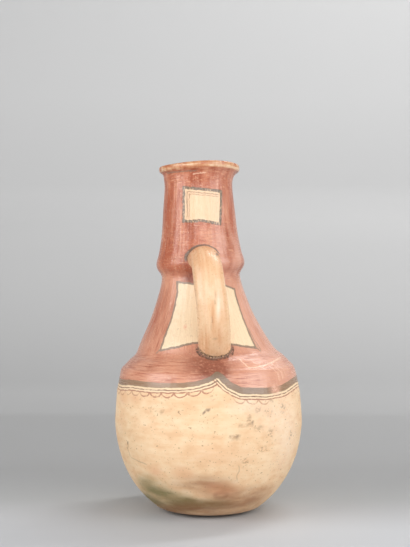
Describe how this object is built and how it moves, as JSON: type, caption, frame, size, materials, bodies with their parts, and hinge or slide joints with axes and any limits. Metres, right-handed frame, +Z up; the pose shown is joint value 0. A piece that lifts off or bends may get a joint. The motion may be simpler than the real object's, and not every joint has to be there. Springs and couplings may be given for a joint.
{
  "type": "one-handled vase",
  "caption": "Hand-built earthenware vase, open and hollow: round belly, lobed shoulder, collared neck, flared lip and one handle.",
  "frame": {"origin": "centre of the flat foot, on the surface that the vase stands on", "axes": "+Z up the vase, -Y towards the side with the handle, +X to the right of a viewer who faces the handle"},
  "size_m": [0.1744, 0.1744, 0.321],
  "materials": {
    "painted_earthenware": "burnished red and cream slip with dark brown painted lines"
  },
  "bodies": {
    "root": {"vase": "painted_earthenware"}
  },
  "joints": []
}
